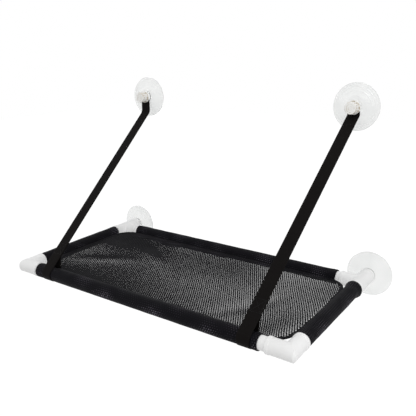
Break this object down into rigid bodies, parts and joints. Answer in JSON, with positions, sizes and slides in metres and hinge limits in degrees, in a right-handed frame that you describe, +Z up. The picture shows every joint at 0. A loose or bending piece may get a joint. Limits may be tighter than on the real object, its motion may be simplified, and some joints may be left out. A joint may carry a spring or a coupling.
{
  "type": "window mounted cat perch",
  "caption": "Net sling on a rectangular pipe frame that hangs on a window by suction cups and two webbing straps.",
  "frame": {"origin": "on the glass, midway between the centres of the two lower suction cups", "axes": "+X along the window, +Y into the glass, +Z up"},
  "size_m": [0.619, 0.3239, 0.368],
  "materials": {
    "white_plastic": "moulded PVC, smooth, slightly glossy",
    "sleeve_fabric": "doubled black polyester net",
    "net_fabric": "single black polyester net with hexagonal holes",
    "binding_tape": "black woven binding tape",
    "webbing": "black ribbed polypropylene webbing",
    "clear_cup": "clear soft PVC",
    "clear_cap": "clear hard plastic, faintly amber"
  },
  "bodies": {
    "frame": {"front_tube": "white_plastic", "back_tube": "white_plastic", "left_side_tube": "white_plastic", "right_side_tube": "white_plastic", "front_left_elbow": "white_plastic", "front_right_elbow": "white_plastic", "back_left_tee": "white_plastic", "back_right_tee": "white_plastic", "left_socket_plug": "white_plastic", "right_socket_plug": "white_plastic", "mesh_panel": "net_fabric", "front_sleeve": "sleeve_fabric", "back_sleeve": "sleeve_fabric", "left_sleeve": "sleeve_fabric", "right_sleeve": "sleeve_fabric", "corner_bindings": "binding_tape"},
    "left_strap": {"left_strap": "webbing"},
    "upper_left_cup": {"upper_left_cup": "clear_cup", "upper_left_stud": "clear_cap"},
    "left_screw_cap": {"left_screw_cap": "clear_cap"},
    "lower_left_cup": {"lower_left_cup": "clear_cup"},
    "right_strap": {"right_strap": "webbing"},
    "upper_right_cup": {"upper_right_cup": "clear_cup", "upper_right_stud": "clear_cap"},
    "right_screw_cap": {"right_screw_cap": "clear_cap"},
    "lower_right_cup": {"lower_right_cup": "clear_cup"}
  },
  "joints": [
    {"name": "left_strap_swing", "type": "hinge", "parent": "frame", "child": "left_strap", "pos_m": [-0.203, -0.3109, 0], "axis": [1, 0, 0], "range_deg": [0, 225]},
    {"name": "upper_left_cup_turn", "type": "hinge", "parent": "left_strap", "child": "upper_left_cup", "pos_m": [-0.226, 0, 0.288], "axis": [0, 1, 0], "continuous": true},
    {"name": "left_screw_cap_turn", "type": "hinge", "parent": "upper_left_cup", "child": "left_screw_cap", "pos_m": [-0.226, 0, 0.288], "axis": [0, 1, 0], "continuous": true},
    {"name": "lower_left_cup_turn", "type": "hinge", "parent": "frame", "child": "lower_left_cup", "pos_m": [-0.2695, 0, 0], "axis": [0, 1, 0], "continuous": true},
    {"name": "right_strap_swing", "type": "hinge", "parent": "frame", "child": "right_strap", "pos_m": [0.203, -0.3109, 0], "axis": [1, 0, 0], "range_deg": [0, 225]},
    {"name": "upper_right_cup_turn", "type": "hinge", "parent": "right_strap", "child": "upper_right_cup", "pos_m": [0.226, 0, 0.288], "axis": [0, 1, 0], "continuous": true},
    {"name": "right_screw_cap_turn", "type": "hinge", "parent": "upper_right_cup", "child": "right_screw_cap", "pos_m": [0.226, 0, 0.288], "axis": [0, 1, 0], "continuous": true},
    {"name": "lower_right_cup_turn", "type": "hinge", "parent": "frame", "child": "lower_right_cup", "pos_m": [0.2695, 0, 0], "axis": [0, 1, 0], "continuous": true}
  ]
}
